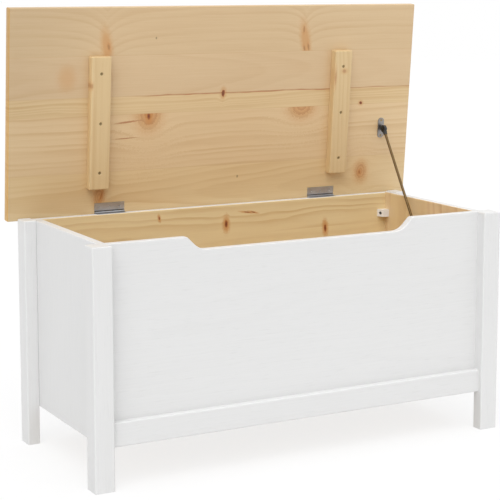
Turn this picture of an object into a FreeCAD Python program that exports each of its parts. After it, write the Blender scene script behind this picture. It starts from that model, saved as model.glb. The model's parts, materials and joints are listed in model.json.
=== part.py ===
import FreeCAD, Part
import os
import re
import Sketcher

# White-painted pine storage box: four corner posts, boarded walls, a scooped front, and a lid on
# two butt hinges that one gas strut holds open. Millimetres, +Z up. The origin lies on the floor
# under the middle of the whole object as it stands with the lid open; the front faces -Y.

SIZES = {
    # Whole box
    "box_width": 956.0,
    "box_depth": 408.0,
    "post_height": 482.0,
    "origin_setback": 9.6,
    "board_thickness": 18.0,
    "board_round": 2.0,
    "cut_overrun": 1.0,
    # Corner posts: the front pair rebated along the inner corner, the back pair as thick as a leg
    "post_size": 42.0,
    "post_leg": 26.0,
    "post_round": 3.0,
    # Wall boards, with the scoop in the front one
    "panel_bottom": 82.0,
    "back_setback": 3.5,
    "scoop_end_margin": 186.0,
    "scoop_depth": 27.5,
    "scoop_run": 28.0,
    "scoop_low_round": 40.0,
    "scoop_top_round": 6.0,
    # Lower front rail
    "rail_setback": 11.0,
    "rail_bottom": 84.0,
    "rail_height": 49.0,
    "rail_round": 3.0,
    # Floor and the ledgers that carry it
    "floor_thickness": 12.0,
    "floor_gap": 1.0,
    "ledger_size": 18.0,
    # Dowels of the back board
    "dowel_radius": 4.0,
    "dowel_length": 30.0,
    "dowel_end_margin": 60.0,
    # Corner connecting blocks
    "block_width": 22.0,
    "block_depth": 17.0,
    "block_taper": 6.5,
    "block_height": 17.0,
    "block_web": 6.0,
    "block_floor_margin": 38.0,
    "block_top_margin": 40.0,
    # Lid
    "lid_side_overhang": 22.0,
    "lid_front_overhang": 36.5,
    "lid_rear_overhang": 5.5,
    "lid_thickness": 18.0,
    "lid_round": 2.5,
    "lid_seat_gap": 0.3,
    "open_angle": 85.0,
    # Battens under the lid
    "batten_side_margin": 200.0,
    "batten_width": 45.0,
    "batten_thickness": 20.0,
    "batten_front_margin": 103.0,
    "batten_rear_margin": 61.0,
    "batten_screw_margin": 36.0,
    # Butt hinges
    "hinge_side_margin": 211.0,
    "hinge_length": 70.0,
    "leaf_thickness": 1.5,
    "leaf_sink": 0.3,
    "leaf_fit": 0.4,
    "lid_leaf_width": 21.0,
    "box_leaf_width": 16.0,
    "knuckle_radius": 2.5,
    "knuckle_clearance": 0.3,
    "knuckle_gap": 0.4,
    "hinge_pin_radius": 1.45,
    "running_clearance": 0.05,
    "hinge_screw_margin": 11.0,
    "lid_leaf_screw_line": 12.0,
    "box_leaf_screw_line": 9.5,
    # Strut plates and pins
    "strut_wall_gap": 10.0,
    "strut_lid_reach": 154.0,
    "strut_pin_drop": 15.0,
    "wall_pin_front_margin": 72.0,
    "wall_pin_floor_margin": 96.0,
    "plate_width": 16.0,
    "plate_length": 47.0,
    "plate_thickness": 2.0,
    "plate_round": 7.5,
    "plate_screw_spacing": 36.0,
    "ear_radius": 6.0,
    "strut_pin_radius": 3.0,
    "strut_pin_head_radius": 4.5,
    "strut_pin_head": 1.0,
    # Gas strut
    "eye_radius": 8.5,
    "eye_width": 6.0,
    "eye_gap": 0.3,
    "eye_neck": 8.0,
    "eye_shank_radius": 4.5,
    "eye_reach": 15.0,
    "rod_radius": 3.0,
    "rod_seat": 6.0,
    "tube_radius": 7.5,
    "tube_wall": 1.2,
    "tube_base": 3.0,
    "tube_length": 235.0,
    "gland_length": 12.0,
    "piston_length": 6.0,
    "stop_gap": 0.5,
    # Screws
    "batten_screw_head": 4.2,
    "batten_screw_shank": 2.1,
    "batten_screw_length": 32.0,
    "small_screw_head": 2.8,
    "small_screw_shank": 1.5,
    "small_screw_length": 14.0,
    "block_screw_head": 3.4,
    "block_screw_shank": 1.7,
    "block_screw_length": 18.0,
    "screw_clearance": 0.05,
}
KNUCKLES = 5
HINGE_SCREWS = 3
BATTEN_SCREWS = 3
STRAIGHT_SHARE = 0.99

doc = FreeCAD.newDocument("StorageBox")
sheet = doc.addObject("Spreadsheet::Sheet", "Sizes")
for row, (name, size) in enumerate(SIZES.items(), start=1):
    sheet.set(f"A{row}", name)
    sheet.set(f"B{row}", str(size))
    sheet.setAlias(f"B{row}", name)
doc.recompute()

pieces = []


def formula(text):
    """The text as an expression, with every named size read from the sheet."""
    return re.sub(r"[a-z]\w+", lambda word: f"Sizes.{word[0]}" if word[0] in SIZES else word[0], text)


def value(text):
    """What the formula comes to now."""
    return float(sheet.evalExpression(formula(text)))


def bind(piece, **formulas):
    """Ties properties of the piece to formulas of named sizes."""
    for prop, text in formulas.items():
        piece.setExpression(prop, formula(text))


# Places that several pieces share, as formulas. The box is worked out from its front and back
# planes, the lid in its own frame, closed, with its origin on the hinge pins, and the strut in its
# own frame, upright, with its origin on the lid's pin.
FRONT = "(-box_depth / 2 - origin_setback)"
BACK = "(box_depth / 2 - origin_setback)"
SIDE = "(box_width / 2)"
POST_FACE = "(box_width / 2 - post_size)"
BOARD_HALF = "(box_width / 2 - post_leg)"
INNER_SIDE = "(box_width / 2 - post_leg - board_thickness)"
INNER_FRONT = f"({FRONT} + post_leg + board_thickness)"
INNER_BACK = f"({BACK} - back_setback - board_thickness)"
LEAF_REACH = "(knuckle_radius + knuckle_clearance)"
RECESS = "(leaf_thickness + leaf_sink)"
UNDERSIDE = f"({LEAF_REACH} - {RECESS})"
HINGE_HEIGHT = f"(post_height + lid_seat_gap - {UNDERSIDE})"
BACK_TOP = f"({HINGE_HEIGHT} - {UNDERSIDE})"
PANEL_HEIGHT = "(post_height - panel_bottom)"
FLOOR_LEVEL = "(panel_bottom + ledger_size)"
HINGE_X = "(box_width / 2 - hinge_side_margin)"
LID_HALF = "(box_width / 2 + lid_side_overhang)"
LID_REACH = "(box_depth + lid_front_overhang)"
BATTEN_X = f"({LID_HALF} - batten_side_margin)"
BATTEN_FRONT = f"(batten_front_margin - {LID_REACH})"
BATTEN_REAR = "(lid_rear_overhang - batten_rear_margin)"
STRUT_X = f"({INNER_SIDE} - strut_wall_gap)"
PIN_DROP = f"(strut_pin_drop - {UNDERSIDE})"
LID_PIN_Y = f"({BACK} - strut_lid_reach * cos(open_angle) - {PIN_DROP} * sin(open_angle))"
LID_PIN_Z = f"({HINGE_HEIGHT} + strut_lid_reach * sin(open_angle) - {PIN_DROP} * cos(open_angle))"
WALL_PIN_Y = f"({INNER_FRONT} + wall_pin_front_margin)"
WALL_PIN_Z = f"({FLOOR_LEVEL} + floor_thickness + wall_pin_floor_margin)"
STRUT_LENGTH = f"sqrt(({LID_PIN_Y} - {WALL_PIN_Y})^2 + ({LID_PIN_Z} - {WALL_PIN_Z})^2)"
STRUT_LEAN = f"atan2({LID_PIN_Y} - {WALL_PIN_Y}; {LID_PIN_Z} - {WALL_PIN_Z})"


def place(piece, x="0", y="0", z="0", turn="0", axis=(0, 0, 1)):
    """Puts the piece's own origin at x, y, z, turned about the axis."""
    turned = FreeCAD.Rotation(FreeCAD.Vector(*axis), value(turn))
    piece.Placement = FreeCAD.Placement(FreeCAD.Vector(), turned)
    for letter, text in zip("xyz", (x, y, z)):
        piece.setExpression(f".Placement.Base.{letter}", formula(text))
    if value(turn):
        piece.setExpression(".Placement.Rotation.Angle", formula(turn))
    doc.recompute()


def place_on_lid(piece, x="0"):
    """Hangs a piece of the lid on the hinge line, opened by the opening angle."""
    place(piece, x, BACK, HINGE_HEIGHT, turn="open_angle", axis=(-1, 0, 0))


def place_on_strut(piece):
    """Lines a piece of the strut up with the lid's pin and the wall's pin."""
    place(piece, STRUT_X, LID_PIN_Y, LID_PIN_Z, turn=STRUT_LEAN, axis=(-1, 0, 0))


def keep(piece, label):
    """Names a finished sub-part."""
    piece.Label = label
    pieces.append(piece)


def new_body(label):
    return doc.addObject("PartDesign::Body", f"{label}_body")


def sketch_on(body, role, lift="0"):
    """A sketch on one of the body's own origin planes, lifted along the plane's normal."""
    plane = next(item for item in body.Origin.OriginFeatures if item.Role == role)
    sketch = body.newObject("Sketcher::SketchObject", "Sketch")
    sketch.AttachmentSupport = [(plane, "")]
    sketch.MapMode = "FlatFace"
    sketch.setExpression(".AttachmentOffset.Base.z", formula(lift))
    return sketch


def pin_point(sketch, edge, end, x, y):
    """Ties one point of the sketch to its origin."""
    for kind, text in (("DistanceX", x), ("DistanceY", y)):
        number = sketch.addConstraint(Sketcher.Constraint(kind, -1, 1, edge, end, value(text)))
        sketch.setExpression(f"Constraints[{number}]", formula(text))


def draw_outline(sketch, corners):
    """A closed outline of straight runs through the corners, each a pair of formulas."""
    points = [FreeCAD.Vector(value(x), value(y), 0) for x, y in corners]
    first = sketch.GeometryCount
    for start, stop in zip(points, points[1:] + points[:1]):
        sketch.addGeometry(Part.LineSegment(start, stop))
    for number, (x, y) in enumerate(corners):
        following = first + (number + 1) % len(corners)
        sketch.addConstraint(Sketcher.Constraint("Coincident", first + number, 2, following, 1))
        pin_point(sketch, first + number, 1, x, y)


def draw_rectangle(sketch, low, high):
    draw_outline(sketch, [low, (high[0], low[1]), high, (low[0], high[1])])


def draw_circle(sketch, x, y, radius):
    centre = FreeCAD.Vector(value(x), value(y), 0)
    edge = sketch.addGeometry(Part.Circle(centre, FreeCAD.Vector(0, 0, 1), value(radius)))
    pin_point(sketch, edge, 3, x, y)
    number = sketch.addConstraint(Sketcher.Constraint("Radius", edge, value(radius)))
    sketch.setExpression(f"Constraints[{number}]", formula(radius))


def pad(body, sketch, length, backwards=False):
    feature = body.newObject("PartDesign::Pad", "Pad")
    feature.Profile = sketch
    feature.Reversed = backwards
    bind(feature, Length=length)
    doc.recompute()


def pocket(body, sketch, depth, backwards=False):
    """Cuts the sketch into the body, and stops if nothing came away."""
    before = body.Shape.Volume
    feature = body.newObject("PartDesign::Pocket", "Pocket")
    feature.Profile = sketch
    feature.Reversed = backwards
    bind(feature, Length=depth)
    doc.recompute()
    if not body.Shape.Volume < before:
        raise RuntimeError(f"{body.Name}: a cut took nothing away")


def turn_round(body, sketch, axis="V_Axis"):
    """Revolves the sketch about one of its own axes."""
    feature = body.newObject("PartDesign::Revolution", "Turned")
    feature.Profile = sketch
    feature.ReferenceAxis = (sketch, [axis])
    feature.Angle = 360.0
    doc.recompute()


def round_edges(body, radius, chosen):
    """Rounds the edges that chosen() picks from the body's last feature."""
    base = body.Tip
    names = [f"Edge{number}" for number, edge in enumerate(base.Shape.Edges, start=1) if chosen(edge)]
    feature = body.newObject("PartDesign::Fillet", "Rounding")
    feature.Base = (base, names)
    bind(feature, Radius=radius)
    doc.recompute()


def runs_along(letter):
    """Picks the straight edges that run along one axis."""
    def chosen(edge):
        span = edge.BoundBox
        lengths = {"x": span.XLength, "y": span.YLength, "z": span.ZLength}
        return lengths[letter] > STRAIGHT_SHARE * edge.Length
    return chosen


def all_edges(edge):
    return True


def board(label, role, low, high, thickness, backwards=False, lift="0"):
    """A plain board: a rectangle on one of its planes, given its thickness."""
    body = new_body(label)
    sketch = sketch_on(body, role, lift)
    draw_rectangle(sketch, low, high)
    pad(body, sketch, thickness, backwards)
    return body


def screw(kind, clearance="0", access="0"):
    """A countersunk screw, head up at the origin. With a clearance it is the hole for one, opened
    above the head as far as access says."""
    head = f"({kind}_head + {clearance})"
    shank = f"({kind}_shank + {clearance})"
    depth = f"({kind}_length + {clearance})"
    corners = [(head, "0"), (shank, f"{shank} - {head}"), (shank, f"{shank} - {depth}"),
               ("0", f"-{depth}"), ("0", access)]
    if value(access):
        corners.append((head, access))
    profile = doc.addObject("Sketcher::SketchObject", f"{kind}_profile")
    profile.Placement = FreeCAD.Placement(FreeCAD.Vector(), FreeCAD.Rotation(FreeCAD.Vector(1, 0, 0), 90))
    draw_outline(profile, corners)
    turned = doc.addObject("Part::Revolution", f"{kind}_turned")
    turned.Source = profile
    turned.Axis = FreeCAD.Vector(0, 0, 1)
    turned.Angle = 360.0
    turned.Solid = True
    doc.recompute()
    return turned


def group(items, placing=None):
    """Several things as one, placed as one."""
    together = doc.addObject("Part::Compound", "Group")
    together.Links = items
    if placing:
        placing(together)
    doc.recompute()
    return together


def copies(shape, spots, placing=None):
    """Copies of the shape, its top towards each spot's facing, as one group."""
    links = []
    for spot, facing in spots:
        link = doc.addObject("App::Link", "Copy")
        link.LinkedObject = shape
        turn = FreeCAD.Rotation(FreeCAD.Vector(0, 0, 1), FreeCAD.Vector(*facing))
        link.Placement = FreeCAD.Placement(FreeCAD.Vector(), turn)
        for letter, place_text in zip("xyz", spot):
            link.setExpression(f".Placement.Base.{letter}", formula(place_text))
        links.append(link)
    return group(links, placing)


def drill(piece, holes):
    """The piece with the holes taken out of it."""
    cut = doc.addObject("Part::Cut", "Drilled")
    cut.Base = piece
    cut.Tool = holes
    doc.recompute()
    if not cut.Shape.Volume < piece.Shape.Volume:
        raise RuntimeError(f"{piece.Name}: the holes took nothing away")
    return cut


# Where the screws sit and which way their heads face, for the pieces they hold and for themselves
BLOCK_CORNERS = {
    "front_left": (1, 1, f"-{INNER_SIDE}", INNER_FRONT),
    "front_right": (-1, 1, INNER_SIDE, INNER_FRONT),
    "back_right": (-1, -1, INNER_SIDE, INNER_BACK),
    "back_left": (1, -1, f"-{INNER_SIDE}", INNER_BACK),
}
BLOCK_LEVELS = {
    "low": f"({FLOOR_LEVEL} + floor_thickness + block_floor_margin)",
    "high": "(post_height - block_top_margin - block_height)",
}


def block_screw_spots():
    """One screw in each block, through its web into the side wall."""
    return [((f"{corner_x} + {away_x} * block_web", f"{corner_y} + {away_y} * block_depth / 2",
              f"{level} + block_height / 2"), (away_x, 0, 0))
            for away_x, away_y, corner_x, corner_y in BLOCK_CORNERS.values()
            for level in BLOCK_LEVELS.values()]


def hinge_screw_spots(line, height, facing):
    """A row of screws along each hinge."""
    step = f"(hinge_length - 2 * hinge_screw_margin) / {HINGE_SCREWS - 1}"
    first = "hinge_screw_margin - hinge_length / 2"
    return [((f"{side} * {HINGE_X} + {first} + {number} * {step}", line, height), facing)
            for side in (-1, 1) for number in range(HINGE_SCREWS)]


def batten_screw_spots():
    """A row of screws along each batten."""
    step = f"({BATTEN_REAR} - {BATTEN_FRONT} - 2 * batten_screw_margin) / {BATTEN_SCREWS - 1}"
    first = f"{BATTEN_REAR} - batten_screw_margin"
    height = f"{UNDERSIDE} - batten_thickness"
    return [((f"{side} * {BATTEN_X}", f"{first} - {number} * {step}", height), (0, 0, -1))
            for side in (-1, 1) for number in range(BATTEN_SCREWS)]


LEAF_FACE = f"({LEAF_REACH} - leaf_thickness)"
BOX_LEAF_FACE = f"{HINGE_HEIGHT} - {LEAF_FACE}"
PLATE_FACE = f"{UNDERSIDE} - plate_thickness"
PLATE_STEP = "plate_screw_spacing / 2"
box_hinge_spots = hinge_screw_spots(f"{BACK} - box_leaf_screw_line", BOX_LEAF_FACE, (0, 0, 1))
lid_hinge_spots = hinge_screw_spots("-lid_leaf_screw_line", LEAF_FACE, (0, 0, -1))
lid_plate_spots = [((STRUT_X, f"{side} * {PLATE_STEP} - strut_lid_reach", PLATE_FACE), (0, 0, -1))
                   for side in (-1, 1)]
wall_plate_spots = [((f"{INNER_SIDE} - plate_thickness", WALL_PIN_Y,
                      f"{WALL_PIN_Z} + {side} * {PLATE_STEP}"), (-1, 0, 0)) for side in (-1, 1)]

block_screw = screw("block_screw")
small_screw = screw("small_screw")
batten_screw = screw("batten_screw")
small_hole = screw("small_screw", "screw_clearance", "cut_overrun")
block_holes = copies(screw("block_screw", "screw_clearance", "block_width"), block_screw_spots())
box_hinge_holes = copies(small_hole, box_hinge_spots)
lid_hinge_holes = copies(small_hole, lid_hinge_spots, place_on_lid)
lid_plate_holes = copies(small_hole, lid_plate_spots, place_on_lid)
wall_plate_holes = copies(small_hole, wall_plate_spots)
batten_holes = copies(screw("batten_screw", "screw_clearance", "cut_overrun"), batten_screw_spots(),
                      place_on_lid)


# Corner posts, rounded over on the outside and the top. The front pair is an L in plan, rebated
# along the inner corner for the wall boards. The back pair is plain, and takes the dowels of the
# back board.
DOWEL_HEIGHTS = ("panel_bottom + dowel_end_margin", f"(panel_bottom + {BACK_TOP}) / 2",
                 f"{BACK_TOP} - dowel_end_margin")


def dowels(clearance="0"):
    """Dowels across the joints of the back board with its posts or, with a clearance, their holes."""
    peg = doc.addObject("Part::Cylinder", "Dowel")
    bind(peg, Radius=f"dowel_radius + {clearance}", Height=f"dowel_length + 2 * {clearance}")
    half = f"(dowel_length / 2 + {clearance})"
    depth = f"{BACK} - back_setback - board_thickness / 2"
    return copies(peg, [((f"{side} * {BOARD_HALF} - {half}", depth, height), (1, 0, 0))
                        for side in (-1, 1) for height in DOWEL_HEIGHTS])


def upright_or_top(edge):
    return runs_along("z")(edge) or edge.CenterOfMass.z > value("post_height / 2")


def clear_of_rebate(edge):
    """The upright and top edges of a front post that the wall boards don't meet."""
    rebate = value("post_leg - post_round")
    middle = edge.CenterOfMass
    return upright_or_top(edge) and not (middle.x > rebate and middle.y > rebate)


def clear_of_boards(edge):
    """The upright and top edges of a back post that are off its inner face."""
    return upright_or_top(edge) and abs(edge.CenterOfMass.x) > value(f"{BOARD_HALF} + post_round")


for label, x, turn in (("front_left_post", f"-{SIDE}", "0"), ("front_right_post", SIDE, "90")):
    post = new_body(label)
    plan = sketch_on(post, "XY_Plane")
    draw_outline(plan, [("0", "0"), ("post_size", "0"), ("post_size", "post_leg"),
                        ("post_leg", "post_leg"), ("post_leg", "post_size"), ("0", "post_size")])
    pad(post, plan, "post_height")
    round_edges(post, "post_round", clear_of_rebate)
    place(post, x, FRONT, turn=turn)
    keep(post, label)

dowel_holes = dowels("screw_clearance")
for label, low_x, high_x in (("back_left_post", f"-{SIDE}", f"-{BOARD_HALF}"),
                             ("back_right_post", BOARD_HALF, SIDE)):
    post = board(label, "XY_Plane", (low_x, f"{BACK} - post_size"), (high_x, BACK), "post_height")
    round_edges(post, "post_round", clear_of_boards)
    keep(drill(post, dowel_holes), label)
keep(dowels(), "back_panel_dowels")


# Front board, with the scoop cut from its top: a slope with a large round at its foot and a small
# one at its brow. The whole top line is then eased on both faces.
SCOOP_FLOOR = f"({PANEL_HEIGHT} - scoop_depth)"
SCOOP_HALF = f"({BOARD_HALF} - scoop_end_margin)"
SCOOP_FOOT = f"({SCOOP_HALF} - scoop_run)"


def at_scoop(half_width, level):
    """Picks the cross edges at one corner of the scoop, left and right."""
    def chosen(edge):
        middle = edge.CenterOfMass
        off = abs(abs(middle.x) - value(half_width)) + abs(middle.z - value(level))
        return runs_along("y")(edge) and off < value("board_round")
    return chosen


def on_top_line(edge):
    """The edges of the top, scoop and all, on both faces."""
    above = edge.CenterOfMass.z > value(f"{SCOOP_FLOOR} - board_round")
    return above and not runs_along("y")(edge) and not runs_along("z")(edge)


front_panel = new_body("front_panel")
outline = sketch_on(front_panel, "XZ_Plane")
draw_outline(outline, [
    (f"-{BOARD_HALF}", "0"), (BOARD_HALF, "0"), (BOARD_HALF, PANEL_HEIGHT),
    (SCOOP_HALF, PANEL_HEIGHT), (SCOOP_FOOT, SCOOP_FLOOR), (f"-{SCOOP_FOOT}", SCOOP_FLOOR),
    (f"-{SCOOP_HALF}", PANEL_HEIGHT), (f"-{BOARD_HALF}", PANEL_HEIGHT)])
pad(front_panel, outline, "board_thickness", backwards=True)
round_edges(front_panel, "scoop_low_round", at_scoop(SCOOP_FOOT, SCOOP_FLOOR))
round_edges(front_panel, "scoop_top_round", at_scoop(SCOOP_HALF, PANEL_HEIGHT))
round_edges(front_panel, "board_round", on_top_line)
place(front_panel, y=f"{FRONT} + post_leg", z="panel_bottom")
keep(front_panel, "front_panel")

# Side boards, from the front board to the back one, lapped on the inner faces of the back posts
SIDE_LENGTH = f"({INNER_BACK} - {INNER_FRONT})"
for label, x, holes in (
        ("left_side_panel", f"-{BOARD_HALF}", block_holes),
        ("right_side_panel", INNER_SIDE, group([block_holes, wall_plate_holes]))):
    panel = board(label, "YZ_Plane", ("0", "0"), (SIDE_LENGTH, PANEL_HEIGHT), "board_thickness")
    round_edges(panel, "board_round", runs_along("y"))
    place(panel, x, INNER_FRONT, "panel_bottom")
    keep(drill(panel, holes), label)

# Back board, between the back posts, with a recess for each hinge leaf in its top edge
BACK_HEIGHT = f"({BACK_TOP} - panel_bottom)"
back_panel = board("back_panel", "XZ_Plane", (f"-{BOARD_HALF}", "0"), (BOARD_HALF, BACK_HEIGHT),
                   "board_thickness", backwards=True)
round_edges(back_panel, "board_round", runs_along("x"))
for side in (-1, 1):
    recess = sketch_on(back_panel, "XY_Plane", BACK_HEIGHT)
    middle = f"{side} * {HINGE_X}"
    draw_rectangle(recess,
                   (f"{middle} - hinge_length / 2 - leaf_fit",
                    "back_setback + board_thickness - box_leaf_width - leaf_fit"),
                   (f"{middle} + hinge_length / 2 + leaf_fit", "board_thickness + cut_overrun"))
    pocket(back_panel, recess, RECESS)
place(back_panel, y=INNER_BACK, z="panel_bottom")
keep(drill(back_panel, group([box_hinge_holes, dowel_holes])), "back_panel")

# Lower front rail, laid on the front board between the posts, its front edges rounded over
front_rail = board("front_rail", "XZ_Plane", (f"-{POST_FACE}", "0"), (POST_FACE, "rail_height"),
                   "post_leg - rail_setback", backwards=True)
round_edges(front_rail, "rail_round",
            lambda edge: runs_along("x")(edge) and edge.CenterOfMass.y < value("rail_round"))
place(front_rail, y=f"{FRONT} + rail_setback", z="rail_bottom")
keep(front_rail, "front_rail")

# Floor board on four ledgers, the long pair along the front and back boards
LEDGER_HALF = f"({INNER_SIDE} - floor_gap)"
floor_panel = board("floor_panel", "XY_Plane", (f"-{LEDGER_HALF}", f"{INNER_FRONT} + floor_gap"),
                    (LEDGER_HALF, f"{INNER_BACK} - floor_gap"), "floor_thickness")
place(floor_panel, z=FLOOR_LEVEL)
keep(floor_panel, "floor_panel")

SHORT_LEDGER_START = f"({INNER_FRONT} + ledger_size + floor_gap)"
SHORT_LEDGER_STOP = f"({INNER_BACK} - ledger_size - floor_gap)"
LEDGERS = {
    "front_floor_ledger": ((f"-{LEDGER_HALF}", INNER_FRONT), (LEDGER_HALF, f"{INNER_FRONT} + ledger_size")),
    "back_floor_ledger": ((f"-{LEDGER_HALF}", f"{INNER_BACK} - ledger_size"), (LEDGER_HALF, INNER_BACK)),
    "left_floor_ledger": ((f"-{INNER_SIDE}", SHORT_LEDGER_START),
                          (f"ledger_size - {INNER_SIDE}", SHORT_LEDGER_STOP)),
    "right_floor_ledger": ((f"{INNER_SIDE} - ledger_size", SHORT_LEDGER_START),
                           (INNER_SIDE, SHORT_LEDGER_STOP)),
}
for label, (low, high) in LEDGERS.items():
    ledger = board(label, "XY_Plane", low, high, "ledger_size")
    place(ledger, z="panel_bottom")
    keep(ledger, label)

# Corner connecting blocks: one low and one high in each inner corner, tapered away from the front or
# back wall and bored for a sunk screw. Two signs give the way each one faces from its corner.
for corner, (away_x, away_y, corner_x, corner_y) in BLOCK_CORNERS.items():
    for level, height in BLOCK_LEVELS.items():
        label = f"{corner}_{level}_block"
        block = new_body(label)
        plan = sketch_on(block, "XY_Plane")
        draw_outline(plan, [("0", "0"), (f"{away_x} * block_width", "0"),
                            (f"{away_x} * (block_width - block_taper)", f"{away_y} * block_depth"),
                            ("0", f"{away_y} * block_depth")])
        pad(block, plan, "block_height")
        place(block, corner_x, corner_y, height)
        keep(drill(block, block_holes), label)
keep(copies(block_screw, block_screw_spots()), "corner_block_screws")

# Lid board, bare pine all round, with a recess for each hinge leaf that runs out through its rear
# edge
lid_panel = board("lid_panel", "XY_Plane", (f"-{LID_HALF}", f"-{LID_REACH}"),
                  (LID_HALF, "lid_rear_overhang"), "lid_thickness", lift=UNDERSIDE)
round_edges(lid_panel, "lid_round", all_edges)
for side in (-1, 1):
    recess = sketch_on(lid_panel, "XY_Plane", UNDERSIDE)
    middle = f"{side} * {HINGE_X}"
    draw_rectangle(recess, (f"{middle} - hinge_length / 2 - leaf_fit", "-lid_leaf_width - leaf_fit"),
                   (f"{middle} + hinge_length / 2 + leaf_fit", "lid_rear_overhang + cut_overrun"))
    pocket(lid_panel, recess, RECESS, backwards=True)
place_on_lid(lid_panel)
keep(drill(lid_panel, group([lid_hinge_holes, lid_plate_holes, batten_holes])), "lid_panel")

# Two battens screwed across the underside to keep the lid flat
for label, side in (("left_batten", -1), ("right_batten", 1)):
    middle = f"{side} * {BATTEN_X}"
    batten = board(label, "XY_Plane", (f"{middle} - batten_width / 2", BATTEN_FRONT),
                   (f"{middle} + batten_width / 2", BATTEN_REAR), "batten_thickness", backwards=True,
                   lift=UNDERSIDE)
    round_edges(batten, "board_round", all_edges)
    place_on_lid(batten)
    keep(drill(batten, batten_holes), label)
keep(copies(batten_screw, batten_screw_spots(), place_on_lid), "batten_screws")


# Butt hinges: two leaves whose knuckles take turns along one pin. Each leaf is a comb of tabs with
# a knuckle rolled on every tab; the box leaf has the outer knuckles.
def knuckle_edge(number, owned):
    """Where the boundary before a knuckle falls, pulled back from it by half the gap."""
    if number in (0, KNUCKLES):
        return f"({number} / {KNUCKLES} - 1 / 2) * hinge_length"
    return f"({number} / {KNUCKLES} - 1 / 2) * hinge_length + {1 if owned else -1} * knuckle_gap / 2"


def hinge_leaf(label, width, first_owned, lift):
    """A leaf lying along the hinge line, owning every second knuckle from first_owned."""
    owned = [number % 2 == first_owned for number in range(KNUCKLES)]
    levels = ["0" if own else f"-{LEAF_REACH}" for own in owned]
    corners = [("-hinge_length / 2", f"-{width}"), ("hinge_length / 2", f"-{width}"),
               ("hinge_length / 2", levels[-1])]
    for number in range(KNUCKLES - 1, 0, -1):
        boundary = knuckle_edge(number, owned[number])
        corners += [(boundary, levels[number]), (boundary, levels[number - 1])]
    corners.append(("-hinge_length / 2", levels[0]))
    leaf = new_body(label)
    comb = sketch_on(leaf, "XY_Plane", lift)
    draw_outline(comb, corners)
    pad(leaf, comb, "leaf_thickness")
    for number in range(KNUCKLES):
        if owned[number]:
            start = knuckle_edge(number, True)
            stop = knuckle_edge(number + 1, False)
            knuckle = sketch_on(leaf, "YZ_Plane", start)
            draw_circle(knuckle, "0", "0", "knuckle_radius")
            pad(leaf, knuckle, f"{stop} - ({start})")
    bore = sketch_on(leaf, "YZ_Plane", "-hinge_length / 2 - cut_overrun")
    draw_circle(bore, "0", "0", "hinge_pin_radius + running_clearance")
    pocket(leaf, bore, "hinge_length + 2 * cut_overrun", backwards=True)
    return leaf


for hand, side in (("left", -1), ("right", 1)):
    middle = f"{side} * {HINGE_X}"
    box_leaf = hinge_leaf(f"{hand}_hinge_box_leaf", "box_leaf_width", 0, f"-{LEAF_REACH}")
    place(box_leaf, middle, BACK, HINGE_HEIGHT)
    keep(drill(box_leaf, box_hinge_holes), f"{hand}_hinge_box_leaf")
    lid_leaf = hinge_leaf(f"{hand}_hinge_lid_leaf", "lid_leaf_width", 1, LEAF_FACE)
    place_on_lid(lid_leaf, middle)
    keep(drill(lid_leaf, lid_hinge_holes), f"{hand}_hinge_lid_leaf")
    pin = doc.addObject("Part::Cylinder", f"{hand}_hinge_pin_rod")
    bind(pin, Radius="hinge_pin_radius", Height="hinge_length")
    place(pin, f"{middle} - hinge_length / 2", BACK, HINGE_HEIGHT, turn="90", axis=(0, 1, 0))
    keep(pin, f"{hand}_hinge_pin")
keep(copies(small_screw, box_hinge_spots), "hinge_box_screws")
keep(copies(small_screw, lid_hinge_spots, place_on_lid), "hinge_lid_screws")


# Strut plates: the lid's plate carries an ear for the pin, the wall's plate is flat. Both are held
# by two screws.
def plate(label, role, middle, lift, backwards):
    """A flat plate with rounded corners, its middle at a pair of formulas."""
    across, along = middle
    wide, tall = ("plate_width / 2", "plate_length / 2")
    body = board(label, role, (f"{across} - {wide}", f"{along} - {tall}"),
                 (f"{across} + {wide}", f"{along} + {tall}"), "plate_thickness", backwards, lift)
    round_edges(body, "plate_round", runs_along("z" if role == "XY_Plane" else "x"))
    return body


EAR_X = f"({STRUT_X} + eye_width / 2 + eye_gap)"
lid_plate = plate("strut_lid_plate", "XY_Plane", (STRUT_X, "-strut_lid_reach"), UNDERSIDE, True)
tongue = sketch_on(lid_plate, "YZ_Plane", EAR_X)
draw_rectangle(tongue, ("-strut_lid_reach - ear_radius", f"-{PIN_DROP}"),
               ("ear_radius - strut_lid_reach", f"{UNDERSIDE} - plate_thickness"))
pad(lid_plate, tongue, "plate_thickness")
tip = sketch_on(lid_plate, "YZ_Plane", EAR_X)
draw_circle(tip, "-strut_lid_reach", f"-{PIN_DROP}", "ear_radius")
pad(lid_plate, tip, "plate_thickness")
eyehole = sketch_on(lid_plate, "YZ_Plane", f"{EAR_X} - cut_overrun")
draw_circle(eyehole, "-strut_lid_reach", f"-{PIN_DROP}", "strut_pin_radius + running_clearance")
pocket(lid_plate, eyehole, "plate_thickness + 2 * cut_overrun", backwards=True)
place_on_lid(lid_plate)
keep(drill(lid_plate, lid_plate_holes), "strut_lid_plate")
keep(copies(small_screw, lid_plate_spots, place_on_lid), "strut_lid_plate_screws")

wall_plate = plate("strut_wall_plate", "YZ_Plane", (WALL_PIN_Y, WALL_PIN_Z), INNER_SIDE, True)
keep(drill(wall_plate, wall_plate_holes), "strut_wall_plate")
keep(copies(small_screw, wall_plate_spots), "strut_wall_plate_screws")


# Strut pins, headed on the side away from the wall. The lid's pin runs through the eye and the ear;
# the wall's pin stops a hair short of its plate.
def strut_pin(label, reach):
    """A headed pin across the strut, its far end at the reach given."""
    pin = new_body(label)
    profile = sketch_on(pin, "XZ_Plane")
    seat = "(-eye_width / 2 - eye_gap)"
    head = f"{seat} - strut_pin_head"
    draw_outline(profile, [(head, "0"), (reach, "0"), (reach, "strut_pin_radius"),
                           (seat, "strut_pin_radius"), (seat, "strut_pin_head_radius"),
                           (head, "strut_pin_head_radius")])
    turn_round(pin, profile, "H_Axis")
    keep(pin, label)
    return pin


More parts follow.
